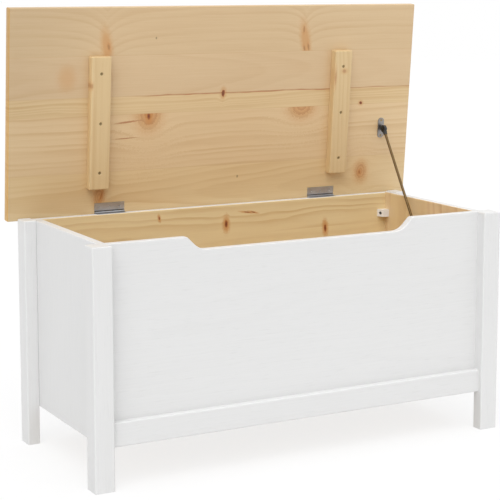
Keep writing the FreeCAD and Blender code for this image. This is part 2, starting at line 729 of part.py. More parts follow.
place_on_strut(strut_pin("strut_upper_pin", "eye_width / 2 + eye_gap + plate_thickness"))
place(strut_pin("strut_lower_pin", "strut_wall_gap - plate_thickness - eye_gap"),
      STRUT_X, WALL_PIN_Y, WALL_PIN_Z)


# Gas strut: moulded eyes at both ends, a steel tube closed at its foot, a rod with a piston in it
# and a gland in its mouth that guides the rod.
def strut_eye(label, level, onward):
    """An eye with a round shank; onward is 1 where the shank points up the strut and -1 down it."""
    eye = new_body(label)
    start = "-eye_width / 2"
    ring = sketch_on(eye, "YZ_Plane", start)
    draw_circle(ring, "0", level, "eye_radius")
    pad(eye, ring, "eye_width")
    neck = sketch_on(eye, "YZ_Plane", start)
    draw_rectangle(neck, ("-eye_shank_radius", level),
                   ("eye_shank_radius", f"{level} + {onward} * (eye_neck + eye_reach) / 2"))
    pad(eye, neck, "eye_width")
    shank = sketch_on(eye, "XZ_Plane")
    draw_rectangle(shank, ("0", f"{level} + {onward} * eye_neck"),
                   ("eye_shank_radius", f"{level} + {onward} * eye_reach"))
    turn_round(eye, shank)
    hole = sketch_on(eye, "YZ_Plane", f"{start} - cut_overrun")
    draw_circle(hole, "0", level, "strut_pin_radius + running_clearance")
    pocket(eye, hole, "eye_width + 2 * cut_overrun", backwards=True)
    return eye


def turned_piece(label, corners):
    """A round piece of the strut, from half its section."""
    body = new_body(label)
    section = sketch_on(body, "XZ_Plane")
    draw_outline(section, corners)
    turn_round(body, section)
    place_on_strut(body)
    keep(body, label)


TUBE_FOOT = f"(eye_reach - {STRUT_LENGTH})"
TUBE_MOUTH = f"({TUBE_FOOT} + tube_length)"
TUBE_BORE = "(tube_radius - tube_wall)"
ROD_END = f"({TUBE_MOUTH} - gland_length - stop_gap)"
ROD_BORE = "(rod_radius + running_clearance)"

upper_eye = strut_eye("strut_upper_eye", "0", -1)
rod_seat = sketch_on(upper_eye, "XY_Plane", "-eye_reach")
draw_circle(rod_seat, "0", "0", ROD_BORE)
pocket(upper_eye, rod_seat, "eye_reach - rod_seat", backwards=True)
place_on_strut(upper_eye)
keep(upper_eye, "strut_upper_eye")
lower_eye = strut_eye("strut_lower_eye", f"-{STRUT_LENGTH}", 1)
place_on_strut(lower_eye)
keep(lower_eye, "strut_lower_eye")

turned_piece("strut_rod", [("0", ROD_END), ("rod_radius", ROD_END), ("rod_radius", "-rod_seat"),
                           ("0", "-rod_seat")])
turned_piece("strut_piston", [("0", f"{ROD_END} - piston_length"),
                              (f"{TUBE_BORE} - running_clearance", f"{ROD_END} - piston_length"),
                              (f"{TUBE_BORE} - running_clearance", ROD_END), ("0", ROD_END)])
turned_piece("strut_tube", [("0", TUBE_FOOT), ("tube_radius", TUBE_FOOT), ("tube_radius", TUBE_MOUTH),
                            (TUBE_BORE, TUBE_MOUTH), (TUBE_BORE, f"{TUBE_FOOT} + tube_base"),
                            ("0", f"{TUBE_FOOT} + tube_base")])
turned_piece("strut_gland", [(ROD_BORE, f"{TUBE_MOUTH} - gland_length"),
                             (f"{TUBE_BORE} - running_clearance", f"{TUBE_MOUTH} - gland_length"),
                             (f"{TUBE_BORE} - running_clearance", TUBE_MOUTH), (ROD_BORE, TUBE_MOUTH)])

# Every feature sound, every sub-part whole, then one file each
doc.recompute()
for item in doc.Objects:
    if "Invalid" in item.State or "Error" in item.State:
        raise RuntimeError(f"{item.Label}: {item.State}")
for piece in pieces:
    if piece.Shape.isNull() or not piece.Shape.isValid() or not piece.Shape.Solids:
        raise RuntimeError(f"{piece.Label}: its shape is not sound")

os.makedirs("parts", exist_ok=True)
for piece in pieces:
    piece.Shape.exportStep(f"parts/{piece.Label}.step")
    print(f"{piece.Label}: {len(piece.Shape.Solids)} solids, {piece.Shape.Volume:.0f} mm3")
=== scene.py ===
import json
import math

import bpy
import numpy as np
from mathutils import Euler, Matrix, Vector


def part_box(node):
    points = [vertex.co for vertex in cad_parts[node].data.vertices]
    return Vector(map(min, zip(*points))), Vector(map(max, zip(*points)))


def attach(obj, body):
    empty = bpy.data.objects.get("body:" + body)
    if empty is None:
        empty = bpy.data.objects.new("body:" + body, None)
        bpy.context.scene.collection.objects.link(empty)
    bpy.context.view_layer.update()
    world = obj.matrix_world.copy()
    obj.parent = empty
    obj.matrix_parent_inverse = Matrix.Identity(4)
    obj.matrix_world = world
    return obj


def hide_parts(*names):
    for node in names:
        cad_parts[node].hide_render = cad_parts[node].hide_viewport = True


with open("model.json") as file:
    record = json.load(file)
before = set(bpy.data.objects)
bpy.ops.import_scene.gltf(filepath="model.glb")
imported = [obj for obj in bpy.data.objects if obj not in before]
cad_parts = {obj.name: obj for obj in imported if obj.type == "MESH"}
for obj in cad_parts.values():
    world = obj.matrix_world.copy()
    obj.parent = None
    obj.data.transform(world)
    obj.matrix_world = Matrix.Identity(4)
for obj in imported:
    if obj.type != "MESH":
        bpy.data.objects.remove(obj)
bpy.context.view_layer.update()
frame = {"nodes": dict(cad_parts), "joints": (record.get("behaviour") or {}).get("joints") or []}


# Corner posts
# Four planed pine posts, rounded over and sprayed with satin white paint. The front pair is
# rebated for the wall boards, and the back pair is dowelled to the back board.
def new_finish(name, **values):
    """An empty finish: its material, its node tree and its shader, with plain values on the sockets."""
    material = bpy.data.materials.new(name)
    material.use_nodes = True
    shader = material.node_tree.nodes["Principled BSDF"]
    for socket, amount in values.items():
        shader.inputs[socket.replace("_", " ")].default_value = amount
    return material, material.node_tree, shader


def feed(tree, socket, source):
    """Links a socket to what another node gives, or sets it to a plain value."""
    if isinstance(source, bpy.types.NodeSocket):
        tree.links.new(source, socket)
    else:
        socket.default_value = source


def calc(tree, operation, *terms):
    """One step of arithmetic."""
    node = tree.nodes.new("ShaderNodeMath")
    node.operation = operation
    for socket, term in zip(node.inputs, terms):
        feed(tree, socket, term)
    return node.outputs["Value"]


def weighted(tree, parts, shares):
    """The sum of the parts that shares names, each times its share."""
    total = 0.0
    for name, share in shares.items():
        total = calc(tree, "MULTIPLY_ADD", parts[name], share, total)
    return total


def ease(tree, value, low, high, first=0.0, last=1.0):
    """Runs smoothly from first to last while the value goes from low to high."""
    node = tree.nodes.new("ShaderNodeMapRange")
    node.interpolation_type = "SMOOTHSTEP"
    for socket, term in zip(node.inputs, (value, low, high, first, last)):
        feed(tree, socket, term)
    return node.outputs["Result"]


def mix(tree, share, first, second, way="MIX"):
    """Mixes two colours by a share."""
    node = tree.nodes.new("ShaderNodeMix")
    node.data_type = "RGBA"
    node.blend_type = way
    feed(tree, node.inputs["Factor"], share)
    feed(tree, node.inputs[6], first)
    feed(tree, node.inputs[7], second)
    return node.outputs[2]


def join(tree, *parts):
    """Puts up to three values into one vector."""
    node = tree.nodes.new("ShaderNodeCombineXYZ")
    for socket, part in zip(node.inputs, parts):
        feed(tree, socket, part)
    return node.outputs["Vector"]


def noise(tree, place, detail=3.0, roughness=0.55):
    """Soft noise from 0 to 1 with one wave for each unit of place."""
    node = tree.nodes.new("ShaderNodeTexNoise")
    node.inputs["Scale"].default_value = 1.0
    node.inputs["Detail"].default_value = detail
    node.inputs["Roughness"].default_value = roughness
    feed(tree, node.inputs["Vector"], place)
    return node.outputs["Fac"]


def chance(tree, *parts):
    """A random number from 0 to 1, the same for the same parts. The last part numbers the draw."""
    node = tree.nodes.new("ShaderNodeTexWhiteNoise")
    node.noise_dimensions = "3D"
    feed(tree, node.inputs["Vector"], join(tree, *parts))
    return node.outputs["Value"]


def board_axes(tree, order=(0, 1, 2), turn=0.0, origin=(0.0, 0.0, 0.0)):
    """Places on a board in metres: along the grain, across it and through the thickness.

    order names the three axes, turn tips the board about X, and origin is its zero point."""
    coordinates = tree.nodes.new("ShaderNodeTexCoord")
    mapping = tree.nodes.new("ShaderNodeMapping")
    mapping.vector_type = "TEXTURE"
    mapping.inputs["Location"].default_value = origin
    mapping.inputs["Rotation"].default_value = (turn, 0.0, 0.0)
    tree.links.new(coordinates.outputs["Object"], mapping.inputs["Vector"])
    split = tree.nodes.new("ShaderNodeSeparateXYZ")
    tree.links.new(mapping.outputs["Vector"], split.inputs["Vector"])
    return [split.outputs[axis] for axis in order]


def stretched(tree, axes, waves):
    """The place on the board with so many waves a metre along, across and through."""
    return join(tree, *[calc(tree, "MULTIPLY", axis, count) for axis, count in zip(axes, waves)])


def staves(tree, across, width):
    """The number of the stave that a place lies in, and how far it is from the stave's middle."""
    number = calc(tree, "FLOOR", calc(tree, "DIVIDE", across, width))
    middle = calc(tree, "MULTIPLY_ADD", number, width, width / 2)
    return number, calc(tree, "SUBTRACT", across, middle)


HEART_SPREAD = 0.44
HEART_NEAREST = 0.02
HEART_DEEPER = 0.05
HEART_TAPER = 0.06


def random_heart(tree, stave):
    """How the tree's heart ran past a stave: its place across, its depth behind, and the taper along."""
    offset = calc(tree, "MULTIPLY_ADD", chance(tree, stave, 1.0), HEART_SPREAD, -HEART_SPREAD / 2)
    depth = calc(tree, "MULTIPLY_ADD", chance(tree, stave, 2.0), HEART_DEEPER, HEART_NEAREST)
    taper = calc(tree, "MULTIPLY_ADD", chance(tree, stave, 3.0), HEART_TAPER, -HEART_TAPER / 2)
    return offset, depth, taper


WANDER_WAVES = (1.7, 5.0, 3.7)
WANDER = 0.045
YEAR_WAVES = 0.45
YEAR_SPREAD = 2.2
LATEWOOD_STARTS = 0.05
LATEWOOD_PEAKS = 0.84
FAINTEST_RING = 0.2
BREAK_WAVES = (3.5, 14.0, 14.0)
BREAK_RANGE = (0.3, 0.7)
FAINTEST_STRETCH = 0.35


def growth_rings(tree, axes, aside, stave, heart, spacing):
    """Latewood lines of a stave, from 0 to 1.

    The distance to the tree's heart is sqrt((aside - offset)^2 + (through + depth)^2). A line lies where
    that, plus a slow taper along the board and a slow wander, passes a whole number of ring widths. The
    years differ in width, the lines in strength, and each line is fainter on some stretches."""
    along = axes[0]
    through = axes[2]
    offset, depth, taper = heart
    from_heart = calc(tree, "SUBTRACT", aside, offset)
    behind = calc(tree, "ADD", through, depth)
    distance = calc(tree, "SQRT", calc(tree, "MULTIPLY_ADD", from_heart, from_heart,
                                       calc(tree, "MULTIPLY", behind, behind)))
    slow = noise(tree, stretched(tree, (along, aside, stave), WANDER_WAVES), detail=4.0, roughness=0.5)
    tapered = calc(tree, "MULTIPLY_ADD", along, taper, distance)
    reach = calc(tree, "ADD", tapered, calc(tree, "MULTIPLY", slow, WANDER))
    even = calc(tree, "DIVIDE", reach, spacing)
    years = noise(tree, join(tree, calc(tree, "MULTIPLY", even, YEAR_WAVES), stave), detail=1.0)
    count = calc(tree, "MULTIPLY_ADD", years, YEAR_SPREAD, even)
    ring = calc(tree, "FLOOR", count)
    within = calc(tree, "FRACT", count)
    rise = ease(tree, within, LATEWOOD_STARTS, LATEWOOD_PEAKS)
    drop = ease(tree, within, LATEWOOD_PEAKS, 1.0, 1.0, 0.0)
    line = calc(tree, "MULTIPLY", calc(tree, "MULTIPLY", rise, rise), drop)
    breaks = noise(tree, stretched(tree, axes, BREAK_WAVES), detail=1.0)
    broken = ease(tree, breaks, *BREAK_RANGE, FAINTEST_STRETCH, 1.0)
    chosen = chance(tree, ring, stave, 5.0)
    darkness = calc(tree, "MULTIPLY_ADD", chosen, 1.0 - FAINTEST_RING, FAINTEST_RING)
    return calc(tree, "MULTIPLY", line, calc(tree, "MULTIPLY", broken, darkness))


FIBRE_WAVES = (9.0, 620.0, 620.0)


def fibres(tree, axes):
    """Fine streaks along the grain, from 0 to 1."""
    return noise(tree, stretched(tree, axes, FIBRE_WAVES), detail=4.0, roughness=0.6)


PAINT = (0.752, 0.752, 0.750, 1.0)
PAINT_SHADE = (0.690, 0.690, 0.686, 1.0)
PAINT_RING = 0.0085
PAINT_STREAK_RANGE = (0.35, 0.75)
PAINT_CLOUD_WAVES = (3.0, 9.0, 9.0)
PORE_WAVES = (28.0, 330.0, 330.0)
PORE_RANGE = (0.58, 0.72)
PAINT_SHARES = {"streaks": 0.26, "lines": 0.20, "clouds": 0.24, "pores": 0.40}
PAINT_RELIEF = {"lines": -0.4, "pores": -0.6, "fibres": 0.8}


def paint(tree, axes, aside, stave):
    """White paint over pine: its colour and its relief. The grain shows through a little."""
    parts = {
        "lines": growth_rings(tree, axes, aside, stave, random_heart(tree, stave), PAINT_RING),
        "fibres": fibres(tree, axes),
        "clouds": noise(tree, stretched(tree, axes, PAINT_CLOUD_WAVES), detail=2.0),
        "pores": ease(tree, noise(tree, stretched(tree, axes, PORE_WAVES), detail=2.0), *PORE_RANGE),
    }
    parts["streaks"] = ease(tree, parts["fibres"], *PAINT_STREAK_RANGE)
    colour = mix(tree, weighted(tree, parts, PAINT_SHARES), PAINT, PAINT_SHADE)
    return colour, weighted(tree, parts, PAINT_RELIEF)


def bump(tree, shader, height, depth):
    """Raises the surface by a height from 0 to 1, over a depth in metres."""
    node = tree.nodes.new("ShaderNodeBump")
    node.inputs["Distance"].default_value = depth
    tree.links.new(height, node.inputs["Height"])
    tree.links.new(node.outputs["Normal"], shader.inputs["Normal"])


ROUGHEST_RELIEF = 0.8


def surface(tree, shader, colour, relief, gloss, depth):
    """Puts a colour and a relief on a shader. The roughness runs over gloss as the relief rises."""
    tree.links.new(colour, shader.inputs["Base Color"])
    tree.links.new(ease(tree, relief, 0.0, ROUGHEST_RELIEF, *gloss), shader.inputs["Roughness"])
    bump(tree, shader, relief, depth)


def dress(material, *names):
    """Gives CAD nodes their finish."""
    for name in names:
        frame["nodes"][name].material_slots[0].material = material


# The axes that run along the grain, across it and through the piece.
UPRIGHT = (2, 0, 1)
LYING = (0, 2, 1)
CROSSING = (2, 1, 0)
WHOLE_TIMBER = 0.3
PAINT_GLOSS = (0.36, 0.48)
GRAIN_DEPTH = 0.00012


def painted_finish(name, order):
    """Satin white paint on one solid length of pine."""
    material, tree, shader = new_finish(name)
    axes = board_axes(tree, order)
    stave, aside = staves(tree, axes[1], WHOLE_TIMBER)
    colour, relief = paint(tree, axes, aside, stave)
    surface(tree, shader, colour, relief, PAINT_GLOSS, GRAIN_DEPTH)
    return material


dress(painted_finish("post_paint", UPRIGHT),
      "front_left_post", "front_right_post", "back_left_post", "back_right_post")


# Wall boards
# Front, sides and back are glued from pine staves. They are painted outside and on the edges, and
# bare and lacquered inside. The side staves stand upright, and those of the front and back lie.
PINE_RING = 0.0095
CANAL_WAVES = (60.0, 1300.0, 1300.0)
CANAL_RANGE = (0.66, 0.76)


def pine_grain(tree, axes, aside, stave, heart, spacing=PINE_RING):
    """What the grain of bare pine is mixed from: growth rings, fine fibres and short resin canals."""
    return {
        "lines": growth_rings(tree, axes, aside, stave, heart, spacing),
        "canals": ease(tree, noise(tree, stretched(tree, axes, CANAL_WAVES), detail=1.0), *CANAL_RANGE),
        "fibres": fibres(tree, axes),
    }


def tinted(tree, colour, tint):
    """A colour times a tint."""
    return mix(tree, 1.0, colour, tint, "MULTIPLY")


EARLYWOOD = (0.735, 0.560, 0.340, 1.0)
LATEWOOD = (0.560, 0.352, 0.165, 1.0)
PINK_PINE = (1.03, 1.00, 1.03, 1.0)
YELLOW_PINE = (0.99, 0.99, 0.88, 1.0)
PINE_GLOSS = (0.40, 0.52)
PINE_STREAK_RANGE = (0.3, 0.8)
PINE_CLOUD_WAVES = (2.2, 9.0, 9.0)
PINE_CLOUD_RANGE = (0.3, 0.7)
PINE_SHARES = {"streaks": 0.17, "canals": 0.16, "clouds": 0.14}
PINE_RELIEF = {"fibres": 0.5, "lines": 0.5}


def pine_colour(tree, axes, grain, contrast, warmth):
    """Bare lacquered pine: its colour and its relief.

    contrast is the strength of the growth rings. warmth goes from 0, a pink stave, to 1, a yellow one."""
    clouds = noise(tree, stretched(tree, axes, PINE_CLOUD_WAVES), detail=3.0)
    parts = dict(grain)
    parts["streaks"] = ease(tree, grain["fibres"], *PINE_STREAK_RANGE)
    parts["clouds"] = ease(tree, clouds, *PINE_CLOUD_RANGE)
    share = weighted(tree, parts, {**PINE_SHARES, "lines": contrast})
    colour = tinted(tree, mix(tree, share, EARLYWOOD, LATEWOOD), mix(tree, warmth, PINK_PINE, YELLOW_PINE))
    return colour, weighted(tree, parts, PINE_RELIEF)


def nearest_oval(tree, along, across, marks):
    """How far a place is from the nearest of some ovals, whose rims are at 1.

    A mark is its centre along and across, its half sizes and the lean of its upright axis in degrees."""
    place = join(tree, along, across)
    nearest = None
    for centre_along, centre_across, half_along, half_across, lean in marks:
        mapping = tree.nodes.new("ShaderNodeMapping")
        mapping.vector_type = "TEXTURE"
        mapping.inputs["Location"].default_value = (centre_along, centre_across, 0.0)
        mapping.inputs["Rotation"].default_value = (0.0, 0.0, math.radians(lean))
        mapping.inputs["Scale"].default_value = (half_along, half_across, 1.0)
        tree.links.new(place, mapping.inputs["Vector"])
        length = tree.nodes.new("ShaderNodeVectorMath")
        length.operation = "LENGTH"
        tree.links.new(mapping.outputs["Vector"], length.inputs[0])
        reach = length.outputs["Value"]
        nearest = reach if nearest is None else calc(tree, "MINIMUM", nearest, reach)
    return nearest


RAGGED_WAVES = (260.0, 260.0)
RAGGED_RANGE = (0.2, 0.8)
RAGGED_RIM = (0.86, 1.16)


def oval_marks(tree, along, across, marks):
    """The same as nearest_oval, for marks in wood, whose rims are a little ragged."""
    ragged = noise(tree, stretched(tree, (along, across), RAGGED_WAVES), detail=2.0)
    rim = ease(tree, ragged, *RAGGED_RANGE, *RAGGED_RIM)
    return calc(tree, "MULTIPLY", nearest_oval(tree, along, across, marks), rim)


PARTING = 2.1


def parted(tree, along, across, marks):
    """The place across the grain with the lines parted round some marks.

    A line at a distance h from a mark's centre is drawn where h (1 - exp(-(r / PARTING)^2)) is, with r the
    distance in half sizes, so lines that would cross the mark are pushed out to its rim."""
    shift = across
    for mark in marks:
        reach = oval_marks(tree, along, across, [mark])
        scaled = calc(tree, "DIVIDE", reach, PARTING)
        fade = calc(tree, "EXPONENT", calc(tree, "MULTIPLY", calc(tree, "MULTIPLY", scaled, scaled), -1.0))
        height = calc(tree, "SUBTRACT", mark[1], across)
        shift = calc(tree, "MULTIPLY_ADD", height, fade, shift)
    return shift


def stain(tree, colour, distance, inner, outer, tint, strength):
    """Tints a colour within inner of a mark, less and less out to outer."""
    share = calc(tree, "MULTIPLY", ease(tree, distance, inner, outer, 1.0, 0.0), strength)
    return mix(tree, share, colour, tint)


def stained(tree, colour, distance, stains):
    """Lays several stains over each other. Each is its inner and outer reach, its tint and its strength."""
    for one_stain in stains:
        colour = stain(tree, colour, distance, *one_stain)
    return colour


KNOT_HALO = (0.575, 0.240, 0.052, 1.0)
KNOT_WOOD = (0.330, 0.085, 0.022, 1.0)
KNOT_HEART = (0.140, 0.040, 0.014, 1.0)
TIGHT_KNOT = [(0.9, 3.6, KNOT_HALO, 0.72), (0.7, 1.2, KNOT_WOOD, 0.92), (0.1, 0.75, KNOT_HEART, 0.85)]
INSIDE_PAINTED_LIGHT = (1.14, 1.23, 1.35, 1.0)
JOINT_SHADE_TINT = (0.24, 0.24, 0.24, 1.0)
PAINTED_JOINT_SHADE = [(0.0008, 0.0018, JOINT_SHADE_TINT, 0.9)]
LACQUER_EDGE = 0.0006
WALL_CONTRAST = 0.75
WARMTH_SPREAD = 0.7


def wall_finish(name, order, stave_width, warmth, inner_axis, inner_place, inside_is_above,
                knots=(), joints=()):
    """A board that is bare on the face at inner_place along inner_axis, and painted elsewhere.

    knots are marks on the bare face, and joints are places across the grain where a hairline of painted
    shade runs beside a post."""
    material, tree, shader = new_finish(name)
    axes = board_axes(tree, order)
    along, across = axes[:2]
    stave, aside = staves(tree, across, stave_width)
    white, white_relief = paint(tree, axes, aside, stave)
    bent = calc(tree, "ADD", aside, calc(tree, "SUBTRACT", parted(tree, along, across, knots), across))
    grain = pine_grain(tree, axes, bent, stave, random_heart(tree, stave))
    tone = calc(tree, "MULTIPLY_ADD", chance(tree, stave, 7.0), WARMTH_SPREAD, warmth - WARMTH_SPREAD / 2)
    bare, bare_relief = pine_colour(tree, axes, grain, WALL_CONTRAST, tone)
    # Painted light: the bare inside faces are made paler and less orange, to make up for the shade inside
    # the box.
    bare = tinted(tree, bare, INSIDE_PAINTED_LIGHT)
    if knots:
        bare = stained(tree, bare, oval_marks(tree, along, across, knots), TIGHT_KNOT)
    place = board_axes(tree)[inner_axis]
    if inside_is_above:
        inside = ease(tree, place, inner_place - 2 * LACQUER_EDGE, inner_place - LACQUER_EDGE)
    else:
        inside = ease(tree, place, inner_place + LACQUER_EDGE, inner_place + 2 * LACQUER_EDGE, 1.0, 0.0)
    # Painted shade: a dark hairline in the paint beside each post, where the joint lies in shade.
    for joint in joints:
        gap = calc(tree, "ABSOLUTE", calc(tree, "SUBTRACT", across, joint))
        white = stained(tree, white, gap, PAINTED_JOINT_SHADE)
    painted = calc(tree, "SUBTRACT", 1.0, inside)
    height = calc(tree, "MULTIPLY_ADD", bare_relief, inside, calc(tree, "MULTIPLY", white_relief, painted))
    surface(tree, shader, mix(tree, inside, white, bare), height, PINE_GLOSS, GRAIN_DEPTH)
    return material


X_AXIS = 0
Y_AXIS = 1
FRONT_STAVE = 0.097
BACK_STAVE = 0.103
SIDE_STAVE = 0.075
FRONT_WARMTH = 0.7
BACK_WARMTH = 0.9
SIDE_WARMTH = 0.4
BACK_KNOTS = [
    (0.008, 0.437, 0.0038, 0.0085, 0.0),
    (0.268, 0.408, 0.0034, 0.0090, 4.0),
    (0.062, 0.460, 0.0090, 0.0010, -8.0),
    (0.077, 0.459, 0.0060, 0.0010, -14.0),
    (-0.158, 0.462, 0.0016, 0.0040, 10.0),
]
front_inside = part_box("front_panel")[1].y
back_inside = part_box("back_panel")[0].y
left_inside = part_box("left_side_panel")[1].x
right_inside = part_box("right_side_panel")[0].x
post_joints = [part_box("back_left_post")[0].y]
dress(wall_finish("front_board", LYING, FRONT_STAVE, FRONT_WARMTH, Y_AXIS, front_inside, True),
      "front_panel")
dress(wall_finish("back_board", LYING, BACK_STAVE, BACK_WARMTH, Y_AXIS, back_inside, False, BACK_KNOTS),
      "back_panel")
dress(wall_finish("left_board", CROSSING, SIDE_STAVE, SIDE_WARMTH, X_AXIS, left_inside, True,
                  joints=post_joints), "left_side_panel")
dress(wall_finish("right_board", CROSSING, SIDE_STAVE, SIDE_WARMTH, X_AXIS, right_inside, False,
                  joints=post_joints), "right_side_panel")


# Lower front rail
# A pine strip across the foot of the front board, glued to its face between the posts and painted
# with it.
dress(painted_finish("rail_paint", LYING), "front_rail")


# Floor and ledgers
# A bare pine floor, glued from staves, lies on four square ledgers that run round the foot of the
# walls.
FLAT = (0, 1, 2)
FLAT_ACROSS = (1, 0, 2)
FLOOR_STAVE = 0.085
FLOOR_WARMTH = 0.5
BARE_CONTRAST = 0.40
PALE_KNOT = [(0.9, 2.6, KNOT_HALO, 0.25), (0.4, 1.3, KNOT_WOOD, 0.42)]


def bare_finish(name, order, stave_width, warmth, turn=0.0, origin=(0.0, 0.0, 0.0), knots=()):
    """Lacquered pine all over, with some small pale knots."""
    material, tree, shader = new_finish(name)
    axes = board_axes(tree, order, turn, origin)
    along, across = axes[:2]
    stave, aside = staves(tree, across, stave_width)
    grain = pine_grain(tree, axes, aside, stave, random_heart(tree, stave))
    colour, relief = pine_colour(tree, axes, grain, BARE_CONTRAST, warmth)
    if knots:
        colour = stained(tree, colour, oval_marks(tree, along, across, knots), PALE_KNOT)
    surface(tree, shader, colour, relief, PINE_GLOSS, GRAIN_DEPTH)
    return material


dress(bare_finish("floor_pine", FLAT, FLOOR_STAVE, FLOOR_WARMTH),
      "floor_panel", "front_floor_ledger", "back_floor_ledger")
dress(bare_finish("side_ledger_pine", FLAT_ACROSS, WHOLE_TIMBER, FLOOR_WARMTH),
      "left_floor_ledger", "right_floor_ledger")


# Dowels of the back board
# Six turned beech pegs, glued into the joints between the back board and its posts, where they
# don't show.
def mottled_finish(name, waves, first, second, gloss, depth, metallic=0.0):
    """Soft specks between two colours, so many waves a metre. Gloss and relief follow the specks."""
    material, tree, shader = new_finish(name, Metallic=metallic)
    specks = noise(tree, stretched(tree, board_axes(tree), waves), detail=2.0)
    surface(tree, shader, mix(tree, specks, first, second), specks, gloss, depth)
    return material


BEECH = {
    "waves": (240.0, 1900.0, 1900.0),
    "first": (0.62, 0.43, 0.26, 1.0),
    "second": (0.47, 0.29, 0.15, 1.0),
    "gloss": (0.55, 0.66),
    "depth": GRAIN_DEPTH,
}
dress(mottled_finish("beech_peg", **BEECH), "back_panel_dowels")


# Corner blocks
# White moulded plastic connecting blocks in the inner corners, two in each. Each is held to the side
# wall by one screw that sits deep in its bore, whose inside is darkened with painted shade.
def middle_of(name):
    """The middle of a CAD node's box."""
    low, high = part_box(name)
    return (low + high) / 2


BLOCK_WHITE = (0.90, 0.90, 0.90, 1.0)
BLOCK_SHADE = (0.82, 0.82, 0.82, 1.0)
BLOCK_WAVES = (900.0, 900.0, 900.0)
BLOCK_GLOSS = (0.30, 0.42)
BLOCK_DEPTH = 0.00005
BORE_RADIUS = 0.00345
BORE_SHADE_TINT = (0.10, 0.09, 0.09, 1.0)
PAINTED_BORE_SHADE = [(1.03, 1.07, BORE_SHADE_TINT, 0.85)]
blocks = [f"{depth}_{side}_{level}_block" for depth in ("front", "back")
          for side in ("left", "right") for level in ("low", "high")]
block_middles = [middle_of(block) for block in blocks]

# The bores run along X, so the marks of the right-hand blocks serve the left-hand ones too.
bores = [(middle.y, middle.z, BORE_RADIUS, BORE_RADIUS, 0.0) for middle in block_middles if middle.x > 0]
block_plastic, tree, shader = new_finish("block_plastic")
axes = board_axes(tree)
specks = noise(tree, stretched(tree, axes, BLOCK_WAVES), detail=2.0)
white = mix(tree, specks, BLOCK_WHITE, BLOCK_SHADE)
# Painted shade: the plastic is darkened inside each bore, where the deep hole lies in shade.
in_bore = nearest_oval(tree, axes[1], axes[2], bores)
surface(tree, shader, stained(tree, white, in_bore, PAINTED_BORE_SHADE), specks, BLOCK_GLOSS, BLOCK_DEPTH)
dress(block_plastic, *blocks)


# Hinges and screws
# Two zinc plated butt hinges let into the lid and the back board. Their leaves are stamped from steel
# and rolled round the pins, with painted shade in the crevices beside the knuckles. All screws are
# countersunk, with cross recesses. Those of the hinges are zinc plated, and the others are of darker steel.
lid_hinge = next(joint for joint in frame["joints"] if joint["name"] == "lid_hinge")
LID_AXIS = Vector(lid_hinge["pos_m"])
LID_TURN = math.radians(180.0 - lid_hinge["range_deg"][1])
ZINC_DARK = (0.39, 0.39, 0.40, 1.0)
ZINC_PALE = (0.57, 0.57, 0.58, 1.0)
ZINC_CELL_WAVES = (420.0, 420.0, 420.0)
ZINC_CLOUD_WAVES = (60.0, 60.0, 60.0)
ZINC_SHARES = {"clouds": 0.6, "cells": 0.4}
ZINC_RANGE = (0.1, 0.9)
ZINC_GLOSS = (0.30, 0.45)
BRUSH_WAVES = (30.0, 2600.0, 2600.0)
BRUSH_DEPTH = 0.00002
CREVICE_RADIUS = 0.0036
KNUCKLE_SHADE_TINT = (0.075, 0.070, 0.062, 1.0)
PAINTED_KNUCKLE_SHADE = [(0.0006, 0.0016, KNUCKLE_SHADE_TINT, 0.85)]
zinc, tree, shader = new_finish("zinc_plate", Metallic=1.0)
axes = board_axes(tree)
cells = tree.nodes.new("ShaderNodeTexVoronoi")
cells.inputs["Scale"].default_value = 1.0
tree.links.new(stretched(tree, axes, ZINC_CELL_WAVES), cells.inputs["Vector"])
clouds = noise(tree, stretched(tree, axes, ZINC_CLOUD_WAVES), detail=3.0)
tone = weighted(tree, {"clouds": clouds, "cells": cells.outputs["Color"]}, ZINC_SHARES)
colour = mix(tree, tone, ZINC_DARK, ZINC_PALE)

# Painted shade round the hinge line, at the radius where the knuckles meet the leaves, where the
# crevice lies in shade.
behind = calc(tree, "SUBTRACT", axes[1], LID_AXIS.y)
above = calc(tree, "SUBTRACT", axes[2], LID_AXIS.z)
from_axis = calc(tree, "SQRT", calc(tree, "MULTIPLY_ADD", behind, behind,
                                    calc(tree, "MULTIPLY", above, above)))
from_painted_shade_ring = calc(tree, "ABSOLUTE", calc(tree, "SUBTRACT", from_axis, CREVICE_RADIUS))
colour = stained(tree, colour, from_painted_shade_ring, PAINTED_KNUCKLE_SHADE)
tree.links.new(colour, shader.inputs["Base Color"])
tree.links.new(ease(tree, tone, *ZINC_RANGE, *ZINC_GLOSS), shader.inputs["Roughness"])
bump(tree, shader, noise(tree, stretched(tree, axes, BRUSH_WAVES), detail=2.0), BRUSH_DEPTH)
dress(zinc, *[f"{side}_hinge_{part}" for side in ("left", "right")
              for part in ("box_leaf", "lid_leaf", "pin")])

SCREW_STEEL = {
    "waves": (500.0, 500.0, 500.0),
    "first": (0.30, 0.22, 0.11, 1.0),
    "second": (0.42, 0.32, 0.17, 1.0),
    "gloss": (0.34, 0.50),
    "depth": 0.00001,
    "metallic": 1.0,
}
screw_steel = mottled_finish("screw_steel", **SCREW_STEEL)

SCREW_SIDES = 48
RECESS_ROWS = 12
GOLDEN_ANGLE = math.radians(137.5)
SHARP_EDGE = math.radians(30.0)
SLOT_SHARE = 0.17
REACH_SHARE = 0.66
DRIVE_SHARE = 0.60
SLOT_WALL = 0.5
RECESS_SLOPE = 1.35


